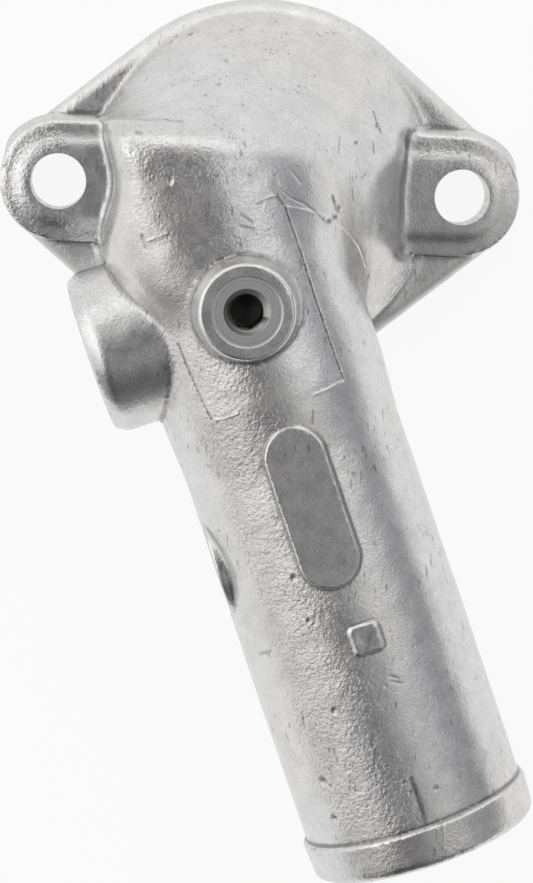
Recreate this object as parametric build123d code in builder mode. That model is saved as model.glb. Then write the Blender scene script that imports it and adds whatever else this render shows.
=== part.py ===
from build123d import *
import os
from math import cos, radians, sin, tan

# Cast aluminium thermostat housing: one casting with a two-bolt flange, a hood and a hose spigot.
# Frame: the origin is the middle of the gasket face. X runs along the bolt line, Z stands off the
# gasket face through the hood, and the outlet tube leaves on the -Y side, swung towards +X.
# Lengths are millimetres and angles are degrees. A station is a distance along the tube's axis from
# its foot, the point of the axis nearest to the origin.

# Flange: a round plate with an ear for a bolt at each side
bolt_spacing = 65.5
bolt_hole_d = 9.0
ear_spacing = 64.0
ear_r = 10.2
flange_r = 30.6
flange_t = 6.6
flange_edge_r = 2.1

# Raised pads on the ears, and the bolt seats on the pads
pad_spacing = 65.0
pad_r = 9.7
pad_h = 1.9
pad_edge_r = 0.5
seat_h = 0.85
seat_r = 5.85
seat_flank_angle = 66.0

# Hood: a leaning cone over the thermostat, from the flange to a small crown above the tube
hood_r = 28.45
hood_height = 37.0
crown_r = 11.0
crown_x = -7.0
crown_y = 0.0
crown_edge_r = 8.0

# Room beside the hood for the bolt heads and the socket that turns them
left_flat_x = -26.1
right_flat_x = 23.5
ear_wall_draft = 3.0
socket_room_r = 8.6

# Outlet tube, straight and level, from a rounded knuckle on the hood to the hose spigot
tube_angle = 20.9
tube_offset = 8.5
tube_height = 22.6
tube_root_r = 18.4
tube_root_length = 30.5
tube_neck_r = 17.75
tube_neck_station = 38.5
spigot_r = 18.0
tube_bore_r = 14.3
tube_start = -24.0
knuckle_y = 11.0
knuckle_r = 5.5
tube_length = 107.5
spigot_length = 32.0
bead_length = 6.8
bead_h = 0.7
bead_edge_r = 1.3
bore_chamfer = 0.8
bore_start = -10.0
bore_start_r = 8.0

# Large boss for a sender on the tube's left side
sender_station = 15.65
sender_boss_r = 13.2
sender_reach = 25.6
sender_edge_r = 1.9
sender_port_r = 6.25
sender_chamfer = 1.0

# Small front boss with a blind tapped hole
tapped_station = 15.0
tapped_across = 0.0
tapped_face_z = 47.1
tapped_boss_r = 7.4
tapped_boss_draft = 8.0
tapped_edge_r = 0.6
tapped_seat_r = 5.3
tapped_seat_depth = 0.3
tapped_mouth_r = 3.6
tapped_hole_r = 2.5
tapped_depth = 7.0
drill_point_angle = 118.0

# Low blank boss on the tube's left side: a round flat face, a little inside the tube's own surface
low_boss_station = 53.95
low_boss_r = 8.85
low_boss_face = 17.7
low_boss_chamfer = 0.6

# Raised rounded pad and small square mark along the tube's ridge
label_station = 47.5
label_across = -0.1
label_length = 26.0
label_width = 9.6
label_proud = 0.5
mark_station = 69.6
mark_across = 1.4
mark_length = 4.7
mark_width = 4.8
mark_corner_r = 0.6
mark_proud = 0.35

# Walls of the hollow inside
hood_wall = 3.5
ear_wall = 3.3
cavity_r = 24.9
cavity_straight = 5.6

# Tools that cut run past the faces they cut by this much
past = 1.0

# Places worked out from the sizes above
half_spacing = bolt_spacing / 2
ear_x = ear_spacing / 2
pad_x = pad_spacing / 2
pad_top = flange_t + pad_h
seat_top = pad_top + seat_h
seat_foot_r = seat_r + seat_h * tan(radians(seat_flank_angle))
pad_inset = half_spacing / 2
swing = radians(tube_angle)
along = Vector(sin(swing), -cos(swing), 0)
across = Vector(cos(swing), sin(swing), 0)
tube_foot = across * -tube_offset + Vector(0, 0, tube_height)
bead_r = spigot_r + bead_h
crown_z = tube_height + tube_root_r


def tube_point(station, to_right=0.0, z=tube_height):
    """Point beside the tube's axis: a station along it, a distance to the right, and a height."""
    spot = tube_foot + along * station + across * to_right
    return Vector(spot.X, spot.Y, z)


def level_plane(station, to_right, z):
    """Plane facing +Z beside the tube, with its x axis along the tube."""
    return Plane(origin=tube_point(station, to_right, z), x_dir=along, z_dir=(0, 0, 1))


def left_plane(station, reach):
    """Plane facing the tube's left at a distance from its axis, with its x axis along the tube."""
    return Plane(origin=tube_point(station, -reach), x_dir=along, z_dir=across * -1)


def tube_radius(station):
    """Outer radius of the tube between its neck and the spigot, where it widens slowly."""
    run = tube_length - spigot_length - tube_neck_station
    return tube_neck_r + (spigot_r - tube_neck_r) * (station - tube_neck_station) / run


# Flange plate with its rounded upper edge
with BuildPart() as flange:
    with BuildSketch():
        Circle(flange_r)
        with Locations((-ear_x, 0), (ear_x, 0)):
            Circle(ear_r)
        make_hull()
    extrude(amount=flange_t)
    fillet(flange.faces().sort_by(Axis.Z)[-1].edges(), flange_edge_r)

# Ear pads, each a round end with straight sides that run into the hood, and their bolt seats
with BuildPart() as pads:
    for side in (-1, 1):
        with BuildSketch():
            with Locations((side * pad_x, 0)):
                Circle(pad_r)
            with Locations((side * (pad_x - pad_inset / 2), 0)):
                Rectangle(pad_inset, 2 * pad_r)
        extrude(amount=pad_top)
    fillet(pads.faces().filter_by(Axis.Z).sort_by(Axis.Z)[-2:].edges(), pad_edge_r)
    for side in (-1, 1):
        with BuildSketch(Plane.XY.offset(pad_top)):
            with Locations((side * half_spacing, 0)):
                Circle(seat_foot_r)
            with Locations((side * (half_spacing - pad_inset / 2), 0)):
                Rectangle(pad_inset, 2 * seat_foot_r)
        extrude(amount=seat_h, taper=seat_flank_angle)

# Outlet tube with the hose spigot and its bead, turned about the tube's axis, and cut off level with
# the bolt line behind its knuckle
with BuildPart() as tube:
    with BuildSketch(Plane(origin=tube_foot, x_dir=across, z_dir=(0, 0, -1))):
        with BuildLine():
            Polyline(
                (0, tube_start),
                (tube_root_r, tube_start),
                (tube_root_r, tube_root_length),
                (tube_neck_r, tube_neck_station),
                (spigot_r, tube_length - spigot_length),
                (spigot_r, tube_length - bead_length),
                (bead_r, tube_length - bead_length + bead_h),
                (bead_r, tube_length),
                (0, tube_length),
                close=True,
            )
        make_face()
    revolve(axis=Axis(tube_foot, along))
    fillet(tube.faces().sort_by(Axis(tube_foot, along))[-1].edges(), bead_edge_r)
    split(bisect_by=Plane.XZ.offset(-knuckle_y), keep=Keep.TOP)
    fillet(tube.faces().sort_by(Axis.Y)[-1].edges(), knuckle_r)

# Hood: a leaning cone with a rounded crown, joined by the tube, with room cut beside it for the bolts
with BuildPart() as hood:
    with BuildSketch():
        Circle(hood_r)
    extrude(amount=flange_t)
    with BuildSketch(Plane.XY.offset(flange_t)):
        Circle(hood_r)
    with BuildSketch(Plane.XY.offset(hood_height)):
        with Locations((crown_x, crown_y)):
            Circle(crown_r)
    loft()
    fillet(hood.faces().sort_by(Axis.Z)[-1].edges(), crown_edge_r)
    add(tube.part)
    room_height = crown_z + past - flange_t
    room_lean = room_height * tan(radians(ear_wall_draft))
    for side, flat_x in ((-1, left_flat_x), (1, right_flat_x)):
        room_edge = side * (half_spacing + ear_r)
        with BuildSketch(Plane.XZ.offset(-pad_r)):
            with BuildLine():
                Polyline(
                    (room_edge, flange_t),
                    (flat_x, flange_t),
                    (flat_x - side * room_lean, flange_t + room_height),
                    (room_edge, flange_t + room_height),
                    close=True,
                )
            make_face()
        extrude(amount=2 * pad_r, mode=Mode.SUBTRACT)
        with Locations((side * half_spacing, 0, flange_t)):
            Cone(
                socket_room_r,
                socket_room_r + room_lean,
                room_height,
                align=(Align.CENTER, Align.CENTER, Align.MIN),
                mode=Mode.SUBTRACT,
            )

# Large side boss with a rounded rim
with BuildPart() as sender_boss:
    with BuildSketch(left_plane(sender_station, 0)):
        Circle(sender_boss_r)
    extrude(amount=sender_reach)
    fillet(sender_boss.faces().sort_by(Axis(tube_foot, across * -1))[-1].edges(), sender_edge_r)

# Low blank boss
with BuildPart() as low_boss:
    with BuildSketch(left_plane(low_boss_station, 0)):
        Circle(low_boss_r)
    extrude(amount=low_boss_face)
    chamfer(low_boss.faces().sort_by(Axis(tube_foot, across * -1))[-1].edges(), low_boss_chamfer)

# Small front boss, tapered, with a rounded rim round a shallow turned seat
tapped_height = tapped_face_z - tube_height
with BuildPart() as tapped_boss:
    with Locations(Plane(origin=tube_point(tapped_station, tapped_across), z_dir=(0, 0, 1))):
        Cone(
            tapped_boss_r + tapped_height * tan(radians(tapped_boss_draft)),
            tapped_boss_r,
            tapped_height,
            align=(Align.CENTER, Align.CENTER, Align.MIN),
        )
    fillet(tapped_boss.faces().sort_by(Axis.Z)[-1].edges(), tapped_edge_r)

# Marks that stand up from the tube's ridge: a flat pad with round ends, and a small square
with BuildPart() as ridge_marks:
    with BuildSketch(level_plane(label_station, label_across, tube_height)):
        SlotOverall(label_length, label_width)
    extrude(amount=tube_radius(label_station) + label_proud)
    with BuildSketch(level_plane(mark_station, mark_across, tube_height)):
        RectangleRounded(mark_length, mark_width, mark_corner_r)
    extrude(amount=tube_radius(mark_station) + mark_proud)

# Hollow inside the hood: a cylinder at the flange, then a cone that follows the hood, with flats
# behind the room for the bolts
with BuildPart() as cavity:
    with BuildSketch(Plane.XY.offset(-past)):
        Circle(cavity_r)
    extrude(amount=cavity_straight + past)
    with BuildSketch(Plane.XY.offset(cavity_straight)):
        Circle(cavity_r)
    with BuildSketch(Plane.XY.offset(hood_height - hood_wall)):
        with Locations((crown_x, crown_y)):
            Circle(crown_r - hood_wall)
    loft()
    cavity_lean = (hood_height + past) * tan(radians(ear_wall_draft))
    cavity_left = -half_spacing + socket_room_r + ear_wall
    cavity_right = right_flat_x - ear_wall
    with BuildSketch(Plane.XZ.offset(-flange_r)):
        with BuildLine():
            Polyline(
                (cavity_left, -past),
                (cavity_right, -past),
                (cavity_right - cavity_lean, hood_height),
                (cavity_left + cavity_lean, hood_height),
                close=True,
            )
        make_face()
    extrude(amount=2 * flange_r, mode=Mode.INTERSECT)

# Bore of the tube, narrowing under the knuckle and chamfered at the hose end
with BuildPart() as bore:
    with BuildSketch(Plane(origin=tube_foot, x_dir=across, z_dir=(0, 0, -1))):
        with BuildLine():
            Polyline(
                (0, bore_start),
                (bore_start_r, bore_start),
                (tube_bore_r, 0),
                (tube_bore_r, tube_length - bore_chamfer),
                (tube_bore_r + bore_chamfer + past, tube_length + past),
                (0, tube_length + past),
                close=True,
            )
        make_face()
    revolve(axis=Axis(tube_foot, along))

# The whole casting
with BuildPart() as housing:
    add(flange.part)
    add(pads.part)
    add(hood.part)
    add(sender_boss.part)
    add(low_boss.part)
    add(tapped_boss.part)
    add(ridge_marks.part)

    # Flat face of the low boss, cut where the tube stands in front of it
    with BuildSketch(left_plane(low_boss_station, low_boss_face)):
        Circle(low_boss_r - low_boss_chamfer)
    extrude(amount=tube_radius(low_boss_station), mode=Mode.SUBTRACT)

    # Hollow, bore and bolt holes
    add(cavity.part, mode=Mode.SUBTRACT)
    add(bore.part, mode=Mode.SUBTRACT)
    with Locations((-half_spacing, 0, seat_top), (half_spacing, 0, seat_top)):
        Hole(bolt_hole_d / 2, depth=seat_top)

    # Sender port, through its boss into the bore
    with Locations(left_plane(sender_station, sender_reach)):
        CounterSinkHole(
            sender_port_r,
            sender_port_r + sender_chamfer,
            depth=sender_reach,
            counter_sink_angle=90,
        )

    # Turned seat of the small boss, and its countersunk blind hole with the drill's point
    with Locations(level_plane(tapped_station, tapped_across, tapped_face_z)):
        Hole(tapped_seat_r, depth=tapped_seat_depth)
    with Locations(level_plane(tapped_station, tapped_across, tapped_face_z - tapped_seat_depth)):
        CounterSinkHole(
            tapped_hole_r,
            tapped_mouth_r,
            depth=tapped_depth,
            counter_sink_angle=90,
        )
    with Locations(level_plane(tapped_station, tapped_across, tapped_face_z - tapped_seat_depth - tapped_depth)):
        Cone(
            0,
            tapped_hole_r,
            tapped_hole_r / tan(radians(drill_point_angle / 2)),
            align=(Align.CENTER, Align.CENTER, Align.MAX),
            mode=Mode.SUBTRACT,
        )

housing.part.label = "housing"

os.makedirs("parts", exist_ok=True)
export_step(housing.part, "parts/housing.step")
print("housing", len(housing.part.solids()), housing.part.volume, housing.part.bounding_box())
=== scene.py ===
import math

import bmesh
import bpy
import numpy as np
from mathutils import Euler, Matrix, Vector


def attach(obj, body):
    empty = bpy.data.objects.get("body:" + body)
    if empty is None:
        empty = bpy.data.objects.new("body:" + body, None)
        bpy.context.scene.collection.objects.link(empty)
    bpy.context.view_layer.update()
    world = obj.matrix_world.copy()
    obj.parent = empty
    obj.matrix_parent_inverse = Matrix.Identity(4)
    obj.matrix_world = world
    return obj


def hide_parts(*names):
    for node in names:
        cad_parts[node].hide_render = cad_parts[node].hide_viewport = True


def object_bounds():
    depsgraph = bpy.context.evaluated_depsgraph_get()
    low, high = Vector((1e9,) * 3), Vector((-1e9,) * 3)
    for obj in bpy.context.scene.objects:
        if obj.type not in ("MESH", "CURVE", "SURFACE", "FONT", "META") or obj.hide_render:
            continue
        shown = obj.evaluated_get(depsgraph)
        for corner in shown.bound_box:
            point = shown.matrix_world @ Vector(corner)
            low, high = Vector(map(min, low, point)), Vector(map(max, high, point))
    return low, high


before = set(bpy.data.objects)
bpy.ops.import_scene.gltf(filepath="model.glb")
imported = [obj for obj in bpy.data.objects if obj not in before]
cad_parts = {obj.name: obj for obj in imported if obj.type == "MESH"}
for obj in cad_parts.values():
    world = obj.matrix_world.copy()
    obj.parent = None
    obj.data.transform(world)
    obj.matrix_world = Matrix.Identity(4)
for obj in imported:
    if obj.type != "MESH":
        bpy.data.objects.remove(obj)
cad_low, cad_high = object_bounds()

# Sizes of the casting, in millimetres, as in the part's own source
BOLT_HALF, BOLT_HOLE_R = 32.75, 4.5
EAR_X, EAR_R, FLANGE_R, FLANGE_T, FLANGE_EDGE = 32.0, 10.2, 30.6, 6.6, 2.1
PAD_X, PAD_R, PAD_TOP, PAD_EDGE = 32.5, 9.7, 8.5, 0.5
SEAT_TOP, SEAT_R, SEAT_FLANK, SEAT_EDGE = 9.35, 5.85, math.radians(66.0), 0.3
HOOD_R, HOOD_TOP, CROWN_R, CROWN_X, CROWN_Y, CROWN_EDGE = 28.45, 37.0, 11.0, -7.0, 0.0, 8.0
LEFT_FLAT, RIGHT_FLAT, FLAT_DRAFT, SOCKET_R = -26.1, 23.5, math.radians(3.0), 8.6
TUBE_SWING, TUBE_OFFSET, TUBE_Z = math.radians(20.9), 8.5, 22.6
TUBE_ROOT_R, NECK_R, SPIGOT_R, KNUCKLE_Y, KNUCKLE_R = 18.4, 17.75, 18.0, 11.0, 5.5
TUBE_LENGTH, BEAD_STEP, BEAD_R, BEAD_END_R, BEAD_EDGE = 107.5, 101.2, 18.7, 18.3, 1.3
TUBE_STATIONS = [-24.0, 29.5, 39.5, 75.5, 100.95, 101.4, 110.0]
TUBE_RADII = [TUBE_ROOT_R, TUBE_ROOT_R, NECK_R, SPIGOT_R, SPIGOT_R, BEAD_R, BEAD_END_R]
BORE_R, BORE_CHAMFER, BORE_START, BORE_START_R = 14.3, 0.8, -10.0, 8.0
SENDER_S, SENDER_R, SENDER_REACH, SENDER_EDGE, SENDER_SLANT = 15.65, 13.2, 25.6, 1.9, 0.6
PORT_R, PORT_CHAMFER, PORT_PITCH, PORT_THREAD = 6.25, 1.0, 1.5, 0.7
TAPPED_S, TAPPED_Z, TAPPED_R, TAPPED_DRAFT, TAPPED_EDGE = 15.0, 47.1, 7.4, math.radians(8.0), 0.6
SEAT_DISC_R, SEAT_DISC_DEPTH, SEAT_DISC_FLARE, MOUTH_R = 5.3, 0.3, 0.25, 3.6
HOLE_R, HOLE_DEPTH, HOLE_TIP, HOLE_PITCH, HOLE_THREAD = 2.5, 7.0, 1.5, 1.0, 0.5
LOW_S, LOW_R, LOW_FACE, LOW_CHAMFER = 53.95, 8.85, 17.7, 0.6
LABEL_S, LABEL_A, LABEL_LENGTH, LABEL_WIDTH, LABEL_TOP, LABEL_EDGE = 47.5, -0.1, 26.0, 9.6, 40.91, 0.35
MARK_S, MARK_A, MARK_LENGTH, MARK_WIDTH, MARK_TOP, MARK_EDGE = 69.6, 1.4, 4.7, 4.8, 40.92, 0.5
MARK_CORNER, RECESS_INSET, RECESS_CORNER, RECESS_DEPTH = 0.9, 1.0, 0.5, 0.16
CAVITY_R, CAVITY_STRAIGHT, HOOD_WALL = 24.9, 5.6, 3.5
CAVITY_LEFT, CAVITY_RIGHT = -20.85, 20.2

# Widths of the soft blends where forms meet
HOOD_BLEND, ROOM_BLEND, ROOM_CORNER, SOCKET_BLEND, FLANGE_BLEND = 6.0, 2.4, 1.2, 3.0, 1.0
BOSS_BLEND, RAISED_BLEND, MARK_BLEND, RECESS_BLEND = 0.6, 0.5, 0.4, 0.15

# Forms that only the cast skin has: a squarer shoulder beside the hood, the hood's foot drawn in at the back
# left, a skirt at the back of each pad, and a wider hollow beside the right ear
SHOULDER_SQUARE, FOOT_PINCH, PAD_SKIRT, FLANK_EXTRA = 1.0, 0.045, 1.2, 4.8

# Cosine of the hood's slope, and how far the skin runs on below the gasket face before it is cut
HOOD_LEAN, SKIN_FOOT = 0.87, 1.5

# The tube's directions: along it, and across it to the right
ALONG = (math.sin(TUBE_SWING), -math.cos(TUBE_SWING))
ACROSS = (math.cos(TUBE_SWING), math.sin(TUBE_SWING))
FOOT = (-TUBE_OFFSET * ACROSS[0], -TUBE_OFFSET * ACROSS[1])

MM = 0.001

# The cast skin's mesh: its box, the spacing of its points, and how they settle onto the surface
SKIN_LOW, SKIN_HIGH = (-43.5, -111.5, -2.7), (49.0, 32.0, 48.6)
SKIN_STEP = 0.72
PROBE, LEAST_SLOPE, LONGEST_MOVE, SETTLE_ROUNDS = 0.05, 0.2, 0.3, 3

# Where it is divided more finely: near lines, outlines and pits, and at sharp bends; FAR is away from all
LINE_REACH, OUTLINE_REACH, PIT_REACH, FINE_CUTS = 0.9, 0.75, 0.7, 3
SHARP_BEND, LONG_EDGE, FAR = math.radians(15), 0.4, 9.0

# Points round a bore or a hole, and how far a cutting shape runs past what it cuts
CAVITY_AROUND, BORE_AROUND, HOLE_AROUND, PORT_AROUND, TAPPED_AROUND = 128, 160, 128, 96, 64
PAST, SLAB_HALF, SLAB_DEPTH, BOLT_CUT = 1.0, 60.0, 5.0, 14.0

# Angle between faces that shows as a crisp edge, and how far under the cast skin a face counts as inside
CRISP_ANGLE, UNDER_SKIN = math.radians(38), 0.35

# Darker marks and painted light: where painted shade lies before the bead, how far the darkening spreads
# about a groove, how far a painted highlight spreads about a ridge, and the height from which both show in
# full
BEAD_FOOT, GROOVE_SPREAD, RIDGE_SPREAD, FULL_HEIGHT = 100.75, 1.3, 1.1, 0.2

# Fine lines and nicks on the skin: points, half width and height, in millimetres; a groove is below zero
MOULD_LINES = {
    "insert_edge_right": ([(1.6, 0.4, 38.3), (2.8, -1.3, 37.9), (5.5, -8.0, 37.5), (7.9, -14.7, 37.6),
                           (10.4, -21.1, 37.6), (13.0, -27.5, 37.4)], 0.20, -0.26),
    "insert_lip_right": ([(3.3, -1.2, 37.7), (6.0, -7.9, 37.3), (8.4, -14.6, 37.4), (10.8, -21.0, 37.4)],
                         0.22, 0.04),
    "insert_edge_low": ([(13.0, -27.8, 37.5), (10.9, -28.9, 38.9), (8.5, -29.9, 40.0)], 0.16, 0.13),
    "insert_edge_left": ([(-12.7, -23.3, 36.8), (-11.4, -26.3, 36.9), (-9.9, -29.4, 37.2),
                          (-8.5, -32.3, 37.4), (-7.0, -34.7, 37.7)], 0.17, -0.17),
    "insert_foot_left": ([(-7.0, -34.7, 37.7), (-5.2, -34.3, 38.8), (-3.1, -33.3, 39.8)], 0.15, 0.10),
    "insert_edge_top": ([(1.5, 0.5, 38.3), (0.1, 0.1, 39.1), (-1.7, -0.7, 39.9)], 0.15, 0.13),
    "insert_corner_left": ([(-18.1, -7.3, 39.6), (-16.6, -6.6, 40.1), (-15.0, -5.9, 40.6)], 0.15, 0.07),
    "insert_notch_left": ([(-18.9, -6.6, 39.4), (-18.3, -8.5, 39.3)], 0.20, -0.10),
    "parting_flash": ([(2.7, -1.3, 38.0), (6.1, -1.8, 35.7), (9.2, -2.7, 32.9), (12.6, -4.7, 28.3),
                       (15.3, -7.6, 23.1), (17.0, -11.3, 18.2)], 0.17, 0.11),
    "parting_arc": ([(17.8, -15.6, 22.0), (16.9, -18.6, 27.7), (15.8, -21.4, 32.3), (14.1, -23.2, 35.2)],
                    0.17, 0.10),
    "tube_gate_mark": ([(26.1, -89.6, 40.5), (27.7, -93.7, 40.4), (28.6, -96.6, 40.2)], 0.35, -0.16),
    "fold_head": ([(1.1, 3.5, 38.0), (1.8, 1.9, 38.0), (2.5, 1.1, 37.7), (3.8, 0.1, 37.1), (5.7, -0.7, 35.8)],
                  0.16, -0.15),
    "fold": ([(5.7, -0.7, 35.8), (7.3, -1.8, 34.6), (9.2, -3.5, 33.0)], 0.17, -0.08),
    "crown_dent_left": ([(-16.1, 11.3, 34.4), (-14.8, 11.1, 36.3), (-13.4, 11.0, 36.8)], 0.18, -0.12),
    "crown_dent_right": ([(17.3, 13.3, 15.3), (17.8, 11.7, 15.8), (18.5, 10.2, 16.0)], 0.18, -0.12),
    "crown_scratch": ([(11.6, 9.4, 24.4), (11.3, 6.9, 26.6)], 0.14, -0.10),
    "crown_nick": ([(4.0, 3.9, 36.0), (5.3, 2.4, 35.4)], 0.16, -0.12),
    "shoulder_dent": ([(10.5, 0.3, 30.6), (10.9, -0.9, 30.3), (11.7, -2.2, 29.5)], 0.24, -0.14),
    "saddle_dent": ([(-3.9, -2.7, 40.7), (-2.2, -3.8, 40.4)], 0.20, -0.10),
    "saddle_nick": ([(-4.0, -4.4, 40.8), (-2.0, -4.8, 40.4)], 0.18, -0.09),
    "saddle_flow": ([(-9.9, -5.3, 41.0), (-8.1, -4.8, 41.0), (-4.6, -4.4, 40.9)], 0.16, 0.09),
    "tube_dent_left": ([(2.1, -72.1, 32.1), (3.7, -71.1, 34.5)], 0.18, -0.12),
    "tube_scratch": ([(9.0, -80.5, 36.2), (9.5, -83.1, 35.8)], 0.15, -0.10),
    "tube_nick_top": ([(22.2, -73.4, 40.4), (23.4, -73.7, 40.1)], 0.16, -0.11),
    "tube_nick_low": ([(22.5, -74.2, 40.4), (23.9, -74.5, 40.1)], 0.16, -0.11),
}

# Small pits and dents: place, radius and depth
PITS = [
    (6.6, -58.6, 39.3, 0.40, 0.22), (9.2, -65.3, 39.4, 0.34, 0.18), (13.8, -79.4, 39.2, 0.38, 0.20),
    (12.9, -91.3, 36.0, 0.60, 0.26), (13.9, -91.9, 36.6, 0.40, 0.20), (14.9, -97.2, 35.8, 0.48, 0.24),
    (30.2, -90.9, 40.1, 0.35, 0.12), (25.1, -90.2, 40.6, 0.30, 0.14), (26.1, -91.6, 40.6, 0.26, 0.14),
    (24.2, -88.4, 40.6, 0.24, 0.12), (-12.4, 24.6, 8.5, 0.40, 0.20), (-6.7, 20.6, 19.7, 0.36, 0.18),
    (-7.8, 16.9, 26.2, 0.40, 0.18), (-15.0, 2.1, 40.4, 0.50, 0.24), (9.9, -3.6, 32.3, 0.42, 0.22),
    (11.5, -1.5, 29.6, 0.50, 0.26), (11.0, -3.0, 30.6, 0.42, 0.24), (17.9, 11.1, 16.1, 0.30, 0.16),
    (14.3, 8.4, 21.8, 0.32, 0.16), (3.3, -71.7, 33.8, 0.36, 0.16), (-13.7, 11.3, 35.9, 0.36, 0.16),
    (-9.9, 15.1, 28.9, 0.30, 0.14), (2.0, 14.0, 30.0, 0.34, 0.14), (21.5, -75.0, 40.0, 0.30, 0.16),
]


def tube_spot(station, z):
    """Point above the tube's middle line, in millimetres."""
    return FOOT[0] + ALONG[0] * station, FOOT[1] + ALONG[1] * station, z


def soft_step(value, low, high):
    """Rises from 0 to 1 between two values, or falls where the first is the larger."""
    t = np.clip((value - low) / (high - low), 0, 1)
    return t * t * (3 - 2 * t)


def round_cut(a, b, r):
    """Common part of two shapes, its edge rounded to a radius."""
    inside = np.minimum(np.maximum(a, b) + r, 0)
    return inside + np.hypot(np.maximum(a + r, 0), np.maximum(b + r, 0)) - r


def blend_join(a, b, k):
    """Both shapes together, with a soft hollow blend of width k where they meet."""
    h = np.maximum(k - np.abs(a - b), 0) / k
    return np.minimum(a, b) - h * h * k / 4


def blend_cut(a, b, k):
    """Common part of two shapes, with a soft edge of width k."""
    return -blend_join(-a, -b, k)


def ear_outline(x, y):
    """Flat distance to the flange's outline: a round plate drawn out to an ear on each side."""
    out = None
    lean = (FLANGE_R - EAR_R) / EAR_X
    rise = math.sqrt(1 - lean * lean)
    for side in (-1, 1):
        u, v = np.abs(y), side * x
        k = -lean * u + rise * v
        d = np.where(
            k < 0,
            np.hypot(u, v) - FLANGE_R,
            np.where(k > rise * EAR_X, np.hypot(u, v - EAR_X) - EAR_R, rise * u + lean * v - FLANGE_R),
        )
        out = d if out is None else np.minimum(out, d)
    return out


def pad_outline(x, y, side, centre, r):
    """Flat distance to a round end with straight sides that run towards the hood."""
    u = side * x - centre
    end = np.hypot(np.maximum(u, 0), y) - r
    return np.where(u > 0, end, np.maximum(np.abs(y) - r, -u - centre / 2))


def along_across(x, y):
    """Distances of points along the tube and across it, to the right, seen from above."""
    dx, dy = x - FOOT[0], y - FOOT[1]
    return dx * ALONG[0] + dy * ALONG[1], dx * ACROSS[0] + dy * ACROSS[1]


def from_label(s, a):
    """Distance to the middle line of the long label."""
    return np.hypot(np.maximum(np.abs(s - LABEL_S) - (LABEL_LENGTH - LABEL_WIDTH) / 2, 0), a - LABEL_A)


def round_box(u, v, r):
    """Flat distance to a box with round corners, from distances past the ends of its straight sides."""
    return np.hypot(np.maximum(u, 0), np.maximum(v, 0)) + np.minimum(np.maximum(u, v), 0) - r


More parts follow.
